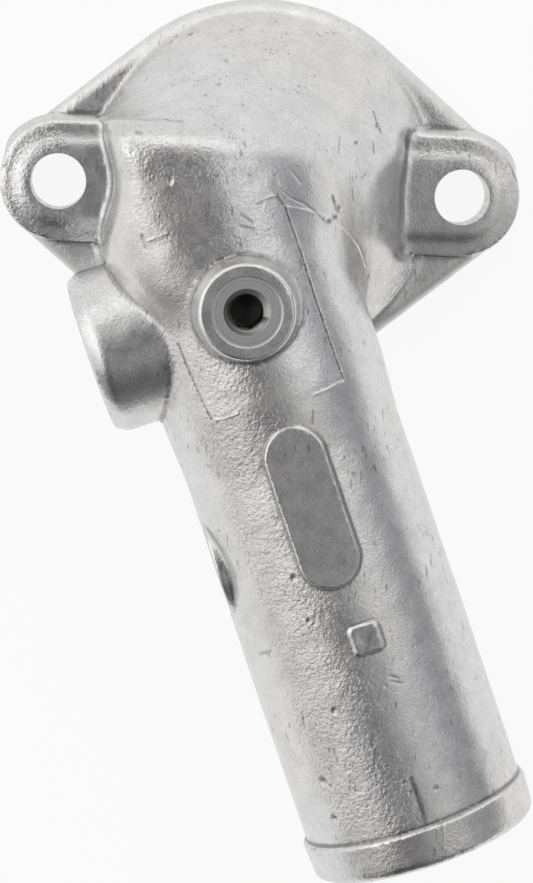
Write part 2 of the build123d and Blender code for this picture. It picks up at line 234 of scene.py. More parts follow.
def cast_distance(x, y, z):
    """Distance to the cast skin, in millimetres, below zero inside."""
    s, a = along_across(x, y)
    h = z - TUBE_Z

    # The tube, squarer at its shoulder, with its bead at one end and a round knuckle at the other
    square = 2 + SHOULDER_SQUARE * soft_step(s, 16.0, 3.0) * soft_step(a, 1.0, -5.0) * soft_step(h, 0.0, 5.0)
    around = (np.abs(a) ** square + np.abs(h) ** square + 1e-9) ** (1 / square)
    tube = around - np.interp(s, TUBE_STATIONS, TUBE_RADII)
    tube = round_cut(tube, s - TUBE_LENGTH, BEAD_EDGE)
    tube = round_cut(tube, y - KNUCKLE_Y, KNUCKLE_R)

    # The hood, a cone that leans towards its crown
    t = np.clip((z - FLANGE_T) / (HOOD_TOP - FLANGE_T), 0, 1.2)
    hood_r = HOOD_R + (CROWN_R - HOOD_R) * t
    pinch = 1 + FOOT_PINCH * soft_step(x, -12.0, -26.0) * soft_step(y, 2.0, 10.0)
    cone = (np.hypot(x * pinch - CROWN_X * t, y - CROWN_Y * t) - hood_r) * HOOD_LEAN
    hood = round_cut(cone, z - HOOD_TOP, CROWN_EDGE)
    body = blend_join(tube, hood, HOOD_BLEND)

    # Room for the bolt heads, cut out of both
    for side, flat in ((-1, LEFT_FLAT), (1, RIGHT_FLAT)):
        lean = (z - FLANGE_T) * math.tan(FLAT_DRAFT)
        room = blend_cut(side * flat - lean - side * x, np.abs(y) - PAD_R, ROOM_CORNER)
        socket = np.hypot(x - side * BOLT_HALF, y) - (SOCKET_R + lean)
        room = np.maximum(blend_join(room, socket, SOCKET_BLEND), FLANGE_T - 1 - z)
        wide = soft_step(y, 7.5, 1.0) * soft_step(y, -12.0, -5.0) * soft_step(z, 6.0, 16.0)
        body = blend_cut(body, -room, ROOM_BLEND + (FLANK_EXTRA * wide if side > 0 else 0))

    # The flange, with a pad and a raised seat on each ear
    flange = round_cut(ear_outline(x, y), z - FLANGE_T, FLANGE_EDGE)
    for side in (-1, 1):
        skirt = PAD_SKIRT * soft_step(y, 2.0, 8.0) * np.clip((PAD_TOP - z) / (PAD_TOP - FLANGE_T), 0, 1)
        pad = round_cut(pad_outline(x, y, side, PAD_X, PAD_R) - skirt, z - PAD_TOP, PAD_EDGE)
        flank = pad_outline(x, y, side, BOLT_HALF, SEAT_R) + (z - SEAT_TOP) * math.tan(SEAT_FLANK)
        seat = round_cut(flank * math.cos(SEAT_FLANK), z - SEAT_TOP, SEAT_EDGE)
        seat = np.maximum(seat, PAD_TOP - 0.5 - z)
        flange = np.minimum(flange, blend_join(pad, seat, RAISED_BLEND))
    body = blend_join(body, flange, FLANGE_BLEND)

    # The large side boss, its edge cut on the slant
    barrel = np.hypot(s - SENDER_S, h) - SENDER_R
    slant = (barrel - SENDER_SLANT * (a + SENDER_REACH - SENDER_EDGE)) / math.hypot(1, SENDER_SLANT)
    boss = round_cut(round_cut(barrel, -a - SENDER_REACH, 0.3), slant, 0.3)
    body = blend_join(body, np.maximum(boss, a), BOSS_BLEND)

    # The low boss with its flat face
    low = round_cut(np.hypot(s - LOW_S, h) - LOW_R, -a - LOW_FACE, LOW_CHAMFER)
    body = blend_join(body, np.maximum(low, a), BOSS_BLEND)
    face = np.maximum(np.hypot(s - LOW_S, h) - (LOW_R - LOW_CHAMFER), LOW_FACE + a)
    body = blend_cut(body, -face, RAISED_BLEND)

    # The small front boss
    small = np.hypot(s - TAPPED_S, a) - (TAPPED_R + (TAPPED_Z - z) * math.tan(TAPPED_DRAFT))
    small = np.maximum(round_cut(small, z - TAPPED_Z, TAPPED_EDGE), TUBE_Z - z)
    body = blend_join(body, small, RAISED_BLEND)

    # The long label, and the square mark with its shallow recess
    label = round_cut(from_label(s, a) - LABEL_WIDTH / 2, z - LABEL_TOP, LABEL_EDGE)
    body = blend_join(body, np.maximum(label, TUBE_Z - z), RAISED_BLEND)

    u = np.abs(s - MARK_S) - MARK_LENGTH / 2 + MARK_CORNER
    v = np.abs(a - MARK_A) - MARK_WIDTH / 2 + MARK_CORNER
    mark = round_cut(round_box(u, v, MARK_CORNER), z - MARK_TOP, MARK_EDGE)
    body = blend_join(body, np.maximum(mark, TUBE_Z - z), MARK_BLEND)
    recess = round_box(u + RECESS_INSET, v + RECESS_INSET, RECESS_CORNER)
    body = blend_cut(body, -np.maximum(recess, MARK_TOP - RECESS_DEPTH - z), RECESS_BLEND)
    return np.maximum(body, -SKIN_FOOT - z)


def wrap_skin(distance, low, high, step):
    """Mesh of the surface where a distance is zero, as four-sided faces on a grid of cells."""
    axes = [np.arange(start, end + step, step) for start, end in zip(low, high)]
    gx, gy, gz = np.meshgrid(*axes, indexing="ij")
    f = distance(gx, gy, gz)
    nx, ny, nz = f.shape
    cells = (nx - 1, ny - 1, nz - 1)
    total = np.zeros(cells + (3,))
    count = np.zeros(cells)
    spans = []
    # Where the grid's edges cross the surface, added up for the cells around each edge
    for axis in range(3):
        lower = [slice(None)] * 3
        upper = [slice(None)] * 3
        lower[axis], upper[axis] = slice(0, -1), slice(1, None)
        f0, f1 = f[tuple(lower)], f[tuple(upper)]
        cross = (f0 < 0) != (f1 < 0)
        share = np.where(cross, f0 / np.where(cross, f0 - f1, 1), 0)
        spans.append((axis, cross, f0 < 0))
        others = [b for b in range(3) if b != axis]
        for i in (0, 1):
            for j in (0, 1):
                take = [slice(None)] * 3
                take[others[0]] = slice(i, cells[others[0]] + i)
                take[others[1]] = slice(j, cells[others[1]] + j)
                c = cross[tuple(take)]
                total[..., axis] += np.where(c, share[tuple(take)], 0)
                total[..., others[0]] += np.where(c, i, 0)
                total[..., others[1]] += np.where(c, j, 0)
                count += c
    used = count > 0
    index = np.full(cells, -1)
    index[used] = np.arange(used.sum())
    base = np.stack(np.nonzero(used), 1)
    points = (base + total[used] / count[used][:, None]) * step + np.array(low)
    quads = []
    # One face for each crossed edge, between the points of its four cells
    for axis, cross, starts_inside in spans:
        others = [b for b in range(3) if b != axis]
        at = np.stack(np.nonzero(cross), 1)
        keep = (at[:, others[0]] > 0) & (at[:, others[1]] > 0)
        keep &= (at[:, others[0]] < cells[others[0]]) & (at[:, others[1]] < cells[others[1]])
        at = at[keep]
        inside = starts_inside[tuple(at.T)]
        ring = []
        for i, j in ((1, 1), (0, 1), (0, 0), (1, 0)):
            c = at.copy()
            c[:, others[0]] -= i
            c[:, others[1]] -= j
            ring.append(index[tuple(c.T)])
        ring = np.stack(ring, 1)
        flip = inside if axis == 1 else ~inside
        ring[flip] = ring[flip][:, ::-1]
        quads.append(ring)
    return points, np.concatenate(quads)


def slope(points, distance):
    """Difference of a distance between two probes beside points, in each direction."""
    x, y, z = points.T
    return np.stack([
        distance(x + PROBE, y, z) - distance(x - PROBE, y, z),
        distance(x, y + PROBE, z) - distance(x, y - PROBE, z),
        distance(x, y, z + PROBE) - distance(x, y, z - PROBE),
    ], 1)


def settle(points, distance, rounds):
    """Moves points onto the surface where a distance is zero."""
    for _ in range(rounds):
        grad = slope(points, distance) / (2 * PROBE)
        size = np.maximum((grad ** 2).sum(1), LEAST_SLOPE)
        move = -grad * (distance(*points.T) / size)[:, None]
        longest = np.maximum(np.linalg.norm(move, axis=1) / LONGEST_MOVE, 1)
        points = points + move / longest[:, None]
    return points


def outward(points, distance):
    """Unit directions away from the surface at points on it."""
    grad = slope(points, distance)
    return grad / np.maximum(np.linalg.norm(grad, axis=1), 1e-9)[:, None]


def bentness(points, distance, reach=0.8):
    """How sharply the surface bends at points: above zero on outer edges, below zero in hollows."""
    total = -6 * distance(*points.T)
    for axis in range(3):
        for way in (-reach, reach):
            moved = points.copy()
            moved[:, axis] += way
            total = total + distance(*moved.T)
    return total / (reach * reach)


def line_distance(points, line):
    """Distance from points to a line of straight runs."""
    best = np.full(len(points), 1e9)
    for p, q in zip(line[:-1], line[1:]):
        p, q = np.array(p), np.array(q)
        run = q - p
        t = np.clip(((points - p) @ run) / (run @ run), 0, 1)
        best = np.minimum(best, np.linalg.norm(points - p - t[:, None] * run, axis=1))
    return best


def soft_waves(points, seed, wavelengths, height):
    """Gentle uneven swells of a sand-cast surface: a few waves in random directions for each wavelength."""
    rng = np.random.default_rng(seed)
    waves = 7
    total = np.zeros(len(points))
    for wavelength in wavelengths:
        for _ in range(waves):
            way = rng.normal(size=3)
            way /= np.linalg.norm(way)
            total += np.sin(points @ way * 2 * math.pi / wavelength + rng.uniform(0, 6.28))
    return total * height / math.sqrt(waves * len(wavelengths))


def mould_relief(points):
    """Height that lines, pits and swells add to the skin at points, in millimetres."""
    total = soft_waves(points, seed=4, wavelengths=(3.2, 5.1, 8.3), height=0.018)
    ways = np.array([(2.1, 1.3, 0.4), (0.9, -1.7, 0.6)])
    uneven = 0.9 + 0.2 * np.sin(points @ ways.T).prod(1)
    for line, width, height in MOULD_LINES.values():
        total += height * uneven * np.exp(-(line_distance(points, line) / width) ** 2)
    for x, y, z, r, depth in PITS:
        d = np.hypot(np.hypot(points[:, 0] - x, (points[:, 1] - y) * 0.8), (points[:, 2] - z) * 0.5)
        lip = 0.2 * np.exp(-((d - 1.5 * r) / (0.5 * r)) ** 2)
        total -= depth * (np.exp(-(d / r) ** 2) - lip)
    return total


def crisp_edge_distance(points):
    """Distance to the outlines of the label and the mark, the rims of the two bosses and the bead's step."""
    x, y, z = points.T
    s, a = along_across(x, y)
    h = z - TUBE_Z
    off_top = np.where(h > 14.0, 0.0, FAR)
    off_left = np.where(a < -12, 0.0, FAR)
    u, v = np.abs(s - MARK_S) - MARK_LENGTH / 2, np.abs(a - MARK_A) - MARK_WIDTH / 2
    return np.minimum.reduce([
        np.abs(from_label(s, a) - LABEL_WIDTH / 2) + off_top,
        np.abs(np.maximum(u, v)) + off_top,
        np.hypot(np.hypot(s - TAPPED_S, a) - TAPPED_R, (z - TAPPED_Z) * 0.6),
        np.hypot(np.hypot(s - LOW_S, h) - LOW_R, np.minimum(a + LOW_FACE, 0) * 0.6) + off_left,
        np.hypot(s - BEAD_STEP, np.minimum(h - 4.0, 0)),
    ])


def refine(points, faces, distance):
    """Divides the skin where it bends sharply and along its lines, so that they come out crisp."""
    draft = mesh_object("skin_draft", points, faces)
    bm = bmesh.new()
    bm.from_mesh(draft.data)
    bpy.data.objects.remove(draft)
    middles = np.array([(e.verts[0].co + e.verts[1].co) / 2 for e in bm.edges]) / MM
    near = crisp_edge_distance(middles) < OUTLINE_REACH
    for line, _, _ in MOULD_LINES.values():
        near |= line_distance(middles, line) < LINE_REACH
    for x, y, z, r, _ in PITS:
        near |= np.linalg.norm(middles - np.array((x, y, z)), axis=1) < 1.1 * r + PIT_REACH
    chosen = [e for e, n in zip(bm.edges, near) if n]
    bmesh.ops.subdivide_edges(bm, edges=chosen, cuts=FINE_CUTS, use_grid_fill=True)
    bm.normal_update()
    bent = [e for e in bm.edges if len(e.link_faces) == 2 and e.calc_face_angle(0) > SHARP_BEND
            and e.calc_length() > LONG_EDGE * MM]
    bmesh.ops.subdivide_edges(bm, edges=bent, cuts=1, use_grid_fill=True)
    refined = np.array([v.co for v in bm.verts]) / MM
    bm.verts.index_update()
    shapes = [[v.index for v in f.verts] for f in bm.faces]
    bm.free()
    return settle(refined, distance, SETTLE_ROUNDS), shapes


def mesh_object(name, points, faces):
    """Object of a mesh given in millimetres."""
    mesh = bpy.data.meshes.new(name)
    corners = [tuple(p) for p in np.asarray(points) * MM]
    mesh.from_pydata(corners, [], [tuple(int(i) for i in q) for q in faces])
    mesh.validate()
    mesh.update()
    made = bpy.data.objects.new(name, mesh)
    bpy.context.scene.collection.objects.link(made)
    return made


def ring_faces(rings, around):
    """Faces of a closed shape made of rings of points, with flat ends."""
    faces = []
    for i in range(rings - 1):
        for k in range(around):
            n = (k + 1) % around
            faces.append((i * around + k, i * around + n, (i + 1) * around + n, (i + 1) * around + k))
    faces.append(tuple(reversed(range(around))))
    faces.append(tuple((rings - 1) * around + k for k in range(around)))
    return faces


def turned(name, place, axis, profile, around, wave=None):
    """Closed turned shape: rings of a profile of (along, radius) from a place along an axis. A wave adds to
    the radius by angle and distance, as a screw thread does."""
    axis = Vector(axis).normalized()
    side = axis.orthogonal().normalized()
    other = axis.cross(side)
    points = []
    for along, r in profile:
        for k in range(around):
            turn = 2 * math.pi * k / around
            reach = r + (wave(turn, along) if wave else 0)
            out = side * math.cos(turn) + other * math.sin(turn)
            points.append(Vector(place) + axis * along + out * reach)
    return mesh_object(name, [tuple(p) for p in points], ring_faces(len(profile), around))


def cut(target, tool):
    """Cuts a tool's shape out of a mesh, then drops the tool."""
    mod = target.modifiers.new("cut", "BOOLEAN")
    mod.operation, mod.object, mod.solver = "DIFFERENCE", tool, "MANIFOLD"
    target.data = bpy.data.meshes.new_from_object(target.evaluated_get(bpy.context.evaluated_depsgraph_get()))
    target.modifiers.clear()
    bpy.data.objects.remove(tool)


def thread_wave(first, last, pitch, depth):
    """Radius that a screw thread adds between two distances along its axis."""
    def wave(turn, along):
        if not first <= along <= last:
            return 0.0
        phase = (along / pitch - turn / (2 * math.pi)) % 1.0
        return depth * (1 - abs(2 * phase - 1))
    return wave


def thread_rings(r, pitch, length):
    """Rings of a bore, eight to each turn of its thread."""
    return [(k * pitch / 8, r) for k in range(1, int(length * 8 / pitch))]


# The cast skin, wrapped round the solid form, settled onto it and kept inside the CAD box
skin_points, skin_faces = wrap_skin(cast_distance, SKIN_LOW, SKIN_HIGH, SKIN_STEP)
skin_points = settle(skin_points, cast_distance, SETTLE_ROUNDS)
skin_points, skin_faces = refine(skin_points, skin_faces, cast_distance)
skin_points = skin_points + outward(skin_points, cast_distance) * mould_relief(skin_points)[:, None]
skin_points = np.minimum(skin_points, np.array(cad_high) / MM)
skin_points[:, :2] = np.maximum(skin_points[:, :2], np.array(cad_low)[:2] / MM)
housing = mesh_object("housing_casting", skin_points, skin_faces)

# Machined and hollow parts are cut out of it with crisp edges
square = [(SLAB_HALF * x, SLAB_HALF * y) for x, y in ((-1, -1), (1, -1), (1, 1), (-1, 1))]
slab = [(x, y, z) for z in (-SLAB_DEPTH, 0.0) for x, y in square]
cut(housing, mesh_object("gasket_cut", slab, ring_faces(2, len(square))))

rings = ((-PAST, 0.0, CAVITY_R), (CAVITY_STRAIGHT, 0.0, CAVITY_R),
         (HOOD_TOP - HOOD_WALL, CROWN_X, CROWN_R - HOOD_WALL))
cavity = []
for z, middle, r in rings:
    for k in range(CAVITY_AROUND):
        turn = 2 * math.pi * k / CAVITY_AROUND
        lean = (z + PAST) * math.tan(FLAT_DRAFT)
        x = min(max(middle + r * math.cos(turn), CAVITY_LEFT + lean), CAVITY_RIGHT - lean)
        cavity.append((x, r * math.sin(turn), z))
cut(housing, mesh_object("cavity_cut", cavity, ring_faces(len(rings), CAVITY_AROUND)))

up, along, left = (0, 0, 1), (ALONG[0], ALONG[1], 0), (-ACROSS[0], -ACROSS[1], 0)
cut(housing, turned("bore_cut", tube_spot(0, TUBE_Z), along, [
    (BORE_START, BORE_START_R), (0, BORE_R), (TUBE_LENGTH - BORE_CHAMFER, BORE_R),
    (TUBE_LENGTH + PAST, BORE_R + BORE_CHAMFER + PAST)], BORE_AROUND))

through = [(0, BOLT_HOLE_R), (BOLT_CUT, BOLT_HOLE_R)]
for side in (-1, 1):
    cut(housing, turned("bolt_cut", (side * BOLT_HALF, 0, -PAST), up, through, HOLE_AROUND))

seat_z = TAPPED_Z - SEAT_DISC_DEPTH
cut(housing, turned("seat_cut", tube_spot(TAPPED_S, seat_z), up, [
    (0, SEAT_DISC_R), (SEAT_DISC_DEPTH, SEAT_DISC_R + SEAT_DISC_FLARE),
    (2, SEAT_DISC_R + SEAT_DISC_FLARE)], HOLE_AROUND))
profile = [(-HOLE_TIP, 0.05), (0, HOLE_R)] + thread_rings(HOLE_R, HOLE_PITCH, HOLE_DEPTH - 1.1)
profile += [(HOLE_DEPTH - (MOUTH_R - HOLE_R), HOLE_R + 0.02), (HOLE_DEPTH, MOUTH_R),
            (HOLE_DEPTH + 0.6, MOUTH_R + 0.6)]
cut(housing, turned("tapped_cut", tube_spot(TAPPED_S, seat_z - HOLE_DEPTH), up, profile, TAPPED_AROUND,
                    thread_wave(0.8, HOLE_DEPTH - 0.9, HOLE_PITCH, HOLE_THREAD)))

port_length = SENDER_REACH - PORT_CHAMFER
profile = [(0, PORT_R)] + thread_rings(PORT_R, PORT_PITCH, port_length)
profile += [(port_length, PORT_R + 0.02), (SENDER_REACH + PAST, PORT_R + PORT_CHAMFER + PAST)]
cut(housing, turned("port_cut", tube_spot(SENDER_S, TUBE_Z), left, profile, PORT_AROUND,
                    thread_wave(1.0, port_length - 0.5, PORT_PITCH, PORT_THREAD)))

housing.data.polygons.foreach_set("use_smooth", [True] * len(housing.data.polygons))
housing.data.set_sharp_from_angle(angle=CRISP_ANGLE)


def skin_roughness(points):
    """How wrinkled the cast skin is at points, as the mould left it. Each zone fades in and out between two
    distances in millimetres."""
    x, y, z = points.T
    s, a = along_across(x, y)
    h = z - TUBE_Z
    before_bead = soft_step(s, TUBE_LENGTH - 6.0, TUBE_LENGTH - 6.5)
    tube = soft_step(s, 6.0, 20.0) * soft_step(a, 2.5, -2.0) * soft_step(a, -17.5, -11.5)
    tube = tube * soft_step(h, 2.0, 8.0) * before_bead
    bead = 1.2 * soft_step(a, 1.5, 3.0) * soft_step(a, 8.5, 6.5) + 0.6 * soft_step(a, -3.0, -5.0)
    bead = bead * (1 - before_bead)
    crest = soft_step(z, 31.0, 35.0) * soft_step(y, 0.5, 4.0) * soft_step(y, 12.5, 9.0)
    crest = crest * soft_step(x, 1.0, -3.0)
    plateau = 0.45 * soft_step(z, 34.0, 37.0) * soft_step(x, 4.0, 0.0) * soft_step(s, 22.0, 10.0)
    boss_top = 0.8 * soft_step(a, -17.0, -20.0) * soft_step(s, 13.0, 9.0) * soft_step(s, 34.0, 28.0)
    rim = 0.25 + 0.45 * soft_step(y, 2.0, 8.0) + 0.3 * soft_step(x, 20.0, 30.0)
    rim = soft_step(z, 7.4, 5.6) * soft_step(z, 0.2, 1.2) * rim
    ear = 0.6 * soft_step(x, 23.0, 26.0) * soft_step(z, 10.5, 9.0) * soft_step(y, 2.0, 6.0)
    foot = 0.8 * soft_step(x, 19.0, 22.0) * soft_step(y, -9.0, -11.0)
    foot = foot * soft_step(z, 14.0, 11.0) * soft_step(z, 6.8, 7.8)
    everywhere = np.full(len(x), 0.20)
    total = np.maximum.reduce([tube, bead, crest, plateau, boss_top, rim, ear, foot, everywhere])

    on_top = soft_step(h, 12.0, 14.0)
    label = soft_step(from_label(s, a), LABEL_WIDTH / 2 + 0.1, LABEL_WIDTH / 2 - 0.3)
    mark = np.maximum(np.abs(s - MARK_S), np.abs(a - MARK_A))
    mark = soft_step(mark, MARK_WIDTH / 2 + 0.2, MARK_WIDTH / 2 - 0.4)
    small_boss = soft_step(np.hypot(s - TAPPED_S, a), TAPPED_R + 2.0, TAPPED_R + 0.6)
    small_boss = small_boss * soft_step(z, 41.0, 42.0)
    low_boss = soft_step(np.hypot(s - LOW_S, h), LOW_R + 0.4, LOW_R - 0.2)
    low_boss = low_boss * soft_step(a, -LOW_FACE + 1.0, -LOW_FACE + 0.2)
    for share, smooth in ((0.93, label * on_top), (0.8, mark * on_top), (0.8, small_boss), (0.8, low_boss)):
        total *= 1 - share * smooth
    return total


def keep_on_mesh(label, values):
    """Keeps a value for each corner of the housing's mesh, for its materials."""
    kept = housing.data.attributes.new(label, "FLOAT", "POINT")
    kept.data.foreach_set("value", values.astype(np.float32))


# How sharply the skin bends, how wrinkled it is, its darker marks and painted shade, painted highlights, and
# its matte rim
corner = np.zeros(len(housing.data.vertices) * 3)
housing.data.vertices.foreach_get("co", corner)
corner = corner.reshape(-1, 3) / MM
stations, acrosses = along_across(corner[:, 0], corner[:, 1])
heights = corner[:, 2]
keep_on_mesh("bend", np.clip(bentness(corner, cast_distance), -3, 3))
keep_on_mesh("wrinkled", skin_roughness(corner))

dark_marks_and_shade = np.zeros(len(corner))
ridge_highlight = np.zeros(len(corner))
# Darker about grooves, and a painted highlight along ridges
for line, width, height in MOULD_LINES.values():
    near = line_distance(corner, line) / ((GROOVE_SPREAD if height < 0 else RIDGE_SPREAD) * width)
    near = min(abs(height) / FULL_HEIGHT, 1.0) * np.exp(-near ** 2)
    if height < 0:
        dark_marks_and_shade = np.maximum(dark_marks_and_shade, near)
    else:
        ridge_highlight = np.maximum(ridge_highlight, near)
# Darker in and about pits
for x, y, z, r, _ in PITS:
    dark_marks_and_shade = np.maximum(dark_marks_and_shade, 0.8 * np.exp(-(np.linalg.norm(corner - np.array((x, y, z)), axis=1) / r) ** 2))
# Painted shade: a thin dark line at the foot of the bead's step
bead_foot_shade = np.exp(-((stations - BEAD_FOOT) / 0.28) ** 2)
# Painted shade: a dark line along the label's right edge
label_rim_shade = np.exp(-((from_label(stations, acrosses) - LABEL_WIDTH / 2) / 0.4) ** 2)
label_rim_shade = label_rim_shade * soft_step(acrosses, 1.5, 4.0) * (stations > LABEL_S - 9)
label_rim_shade = label_rim_shade * soft_step(heights, TUBE_Z + 12, TUBE_Z + 14)
# Painted shade: the low boss's flat face darker
low_face_shade = soft_step(np.hypot(stations - LOW_S, heights - TUBE_Z), LOW_R + 0.2, LOW_R - 0.6)
low_face_shade = low_face_shade * soft_step(acrosses, -LOW_FACE + 1.2, -LOW_FACE + 0.2)
dark_marks_and_shade = np.maximum.reduce([dark_marks_and_shade, 0.55 * bead_foot_shade, 0.5 * label_rim_shade, 0.42 * low_face_shade])
# The flange's rim is matte, and painted lighter, most towards -y, where the room is dark
rim = soft_step(heights, 6.75, 6.2) * soft_step(heights, -0.2, 0.4)
keep_on_mesh("dark_marks_and_painted_shade", dark_marks_and_shade)
keep_on_mesh("ridge_painted_highlight", ridge_highlight)
keep_on_mesh("rim_matte_painted_light", rim * (0.35 + 0.65 * soft_step(corner[:, 1], 2.0, -6.0)))

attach(housing, "root")
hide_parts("housing")


def new_group(name, inputs, outputs):
    """Shader node group with named inputs (name, type, value) and outputs (name, type)."""
    group = bpy.data.node_groups.new(name, "ShaderNodeTree")
    for label, kind, value in inputs:
        made = group.interface.new_socket(label, in_out="INPUT", socket_type="NodeSocket" + kind)
        if value is not None:
            made.default_value = value
    for label, kind in outputs:
        group.interface.new_socket(label, in_out="OUTPUT", socket_type="NodeSocket" + kind)
    return group, group.nodes.new("NodeGroupInput"), group.nodes.new("NodeGroupOutput")


def math_node(tree, operation, a, b=None, c=None, clamp=False):
    """Math node; a, b and c are sockets or numbers."""
    node = tree.nodes.new("ShaderNodeMath")
    node.operation, node.use_clamp = operation, clamp
    for k, value in enumerate((a, b, c)):
        if value is None:
            continue
        if isinstance(value, (int, float)):
            node.inputs[k].default_value = value
        else:
            tree.links.new(value, node.inputs[k])
    return node.outputs[0]


def vector_node(tree, operation, a, b=None):
    """Vector math node; a and b are sockets or tuples."""
    node = tree.nodes.new("ShaderNodeVectorMath")
    node.operation = operation
    for k, value in enumerate((a, b)):
        if isinstance(value, tuple):
            node.inputs[k].default_value = value
        elif value is not None:
            tree.links.new(value, node.inputs[k])
    return node.outputs[0]


def noise_node(tree, vector, scale, detail=3.0, roughness=0.55, distortion=0.0):
    """Noise over the surface."""
    node = tree.nodes.new("ShaderNodeTexNoise")
    tree.links.new(vector, node.inputs["Vector"])
    if isinstance(scale, (int, float)):
        node.inputs["Scale"].default_value = scale
    else:
        tree.links.new(scale, node.inputs["Scale"])
    node.inputs["Detail"].default_value = detail
    node.inputs["Roughness"].default_value = roughness
    node.inputs["Distortion"].default_value = distortion
    return node.outputs["Fac"]


def range_node(tree, value, low, high, to_low=0.0, to_high=1.0):
    """Maps a value from one range to another, softly at both ends."""
    node = tree.nodes.new("ShaderNodeMapRange")
    node.interpolation_type = "SMOOTHSTEP"
    tree.links.new(value, node.inputs["Value"])
    for label, number in (("From Min", low), ("From Max", high), ("To Min", to_low), ("To Max", to_high)):
        node.inputs[label].default_value = number
    return node.outputs["Result"]


def mix_colour(tree, factor, a, b):
    """Mixes two colours, each a socket or a tuple."""
    node = tree.nodes.new("ShaderNodeMix")
    node.data_type = "RGBA"
    if isinstance(factor, (int, float)):
        node.inputs[0].default_value = factor
    else:
        tree.links.new(factor, node.inputs[0])
    for k, value in ((6, a), (7, b)):
        if isinstance(value, tuple):
            node.inputs[k].default_value = value
        else:
            tree.links.new(value, node.inputs[k])
    return node.outputs[2]


def mesh_value(tree, label):
    """Value kept on the mesh."""
    node = tree.nodes.new("ShaderNodeAttribute")
    node.attribute_name = label
    return node.outputs["Fac"]


def place_group(tree, group, **values):
    """Group node with its inputs set by name; a socket is linked, anything else is a value."""
    node = tree.nodes.new("ShaderNodeGroup")
    node.node_tree = group
    for label, value in values.items():
        socket = node.inputs[label.replace("_", " ")]
        if isinstance(value, bpy.types.NodeSocket):
            tree.links.new(value, socket)
        else:
            socket.default_value = value
    return node


# Grain of the cast skin: wrinkles about a millimetre wide where it is rough, a fine tooth where it is smooth
grain, gin, gout = new_group(
    "cast_grain",
    [("Vector", "Vector", None), ("Rough", "Float", 0.5), ("Cell", "Float", 1.0)],
    [("Height", "Float"), ("Glint", "Float"), ("Speck", "Float")],
)
where = gin.outputs["Vector"]
wrinkle_scale = math_node(grain, "DIVIDE", 1600.0, gin.outputs["Cell"])
fine_scale = math_node(grain, "DIVIDE", 3000.0, gin.outputs["Cell"])
wrinkle = noise_node(grain, where, wrinkle_scale, 2.0, 0.5, 0.5)
ridge = math_node(grain, "ABSOLUTE", math_node(grain, "SUBTRACT", wrinkle, 0.5))
ridge = range_node(grain, ridge, 0.0, 0.10, 1.0, 0.0)
swell = noise_node(grain, where, 260.0, 2.0, 0.5, 0.4)
tooth = noise_node(grain, where, fine_scale, 2.0, 0.6, 0.2)
rough_height = math_node(grain, "MULTIPLY_ADD", ridge, 0.05, math_node(grain, "MULTIPLY", wrinkle, 0.9))
rough_height = math_node(grain, "MULTIPLY", rough_height, gin.outputs["Rough"])
fine_height = math_node(grain, "MULTIPLY_ADD", tooth, 0.20, math_node(grain, "MULTIPLY", swell, 0.14))
grain.links.new(math_node(grain, "ADD", rough_height, fine_height), gout.inputs["Height"])
# Glint: spots painted bright in the colour, a painted highlight, where the skin is also a little smoother
glint = range_node(grain, noise_node(grain, where, 1600.0, 2.0, 0.6, 0.3), 0.58, 0.70)
grain.links.new(math_node(grain, "MULTIPLY", glint, gin.outputs["Rough"]), gout.inputs["Glint"])
speck = range_node(grain, noise_node(grain, where, 420.0, 2.0, 0.5, 0.3), 0.70, 0.78)
grain.links.new(speck, gout.inputs["Speck"])

# Tone of bare aluminium: soft patches, fine freckles, and faint warm and cool casts
tone, tin, tout = new_group(
    "metal_tone",
    [("Vector", "Vector", None), ("Tone", "Color", (0.6, 0.6, 0.6, 1)), ("Spread", "Float", 0.12)],
    [("Color", "Color")],
)
where = tin.outputs["Vector"]
patch = range_node(tone, noise_node(tone, where, 240.0, 4.0, 0.65, 0.3), 0.30, 0.70)
freckle = range_node(tone, noise_node(tone, where, 2600.0, 2.0, 0.6), 0.30, 0.70)
patch = math_node(tone, "MULTIPLY_ADD", patch, 0.5, math_node(tone, "MULTIPLY", freckle, 0.5))
swing = math_node(tone, "MULTIPLY_ADD", math_node(tone, "SUBTRACT", patch, 0.5), tin.outputs["Spread"], 1.0)
warm = range_node(tone, noise_node(tone, where, 42.0, 1.5, 0.5, 0.2), 0.40, 0.62)
tint = mix_colour(tone, warm, (0.992, 0.995, 1.008, 1), (1.006, 0.998, 0.992, 1))
scaled = vector_node(tone, "SCALE", vector_node(tone, "MULTIPLY", tin.outputs["Tone"], tint))
tone.links.new(swing, scaled.node.inputs["Scale"])
tone.links.new(scaled, tout.inputs["Color"])

# Marks of a turning tool: fine rings about an axis through a place
rings_group, rin, rout = new_group(
    "turning_marks",
    [("Vector", "Vector", None), ("Place", "Vector", (0.0, 0.0, 0.0)), ("Rings", "Float", 2600.0)],
    [("Height", "Float")],
)
parts = rings_group.nodes.new("ShaderNodeSeparateXYZ")
offset = vector_node(rings_group, "SUBTRACT", rin.outputs["Vector"], rin.outputs["Place"])
rings_group.links.new(offset, parts.inputs[0])
across, along = [math_node(rings_group, "MULTIPLY", part, part) for part in parts.outputs[:2]]
away = math_node(rings_group, "SQRT", math_node(rings_group, "ADD", across, along))
line = rings_group.nodes.new("ShaderNodeTexNoise")
line.noise_dimensions = "1D"
rings_group.links.new(math_node(rings_group, "MULTIPLY", away, rin.outputs["Rings"]), line.inputs["W"])
line.inputs["Scale"].default_value = 1.0
line.inputs["Detail"].default_value = 2.0
rings_group.links.new(line.outputs["Fac"], rout.inputs["Height"])

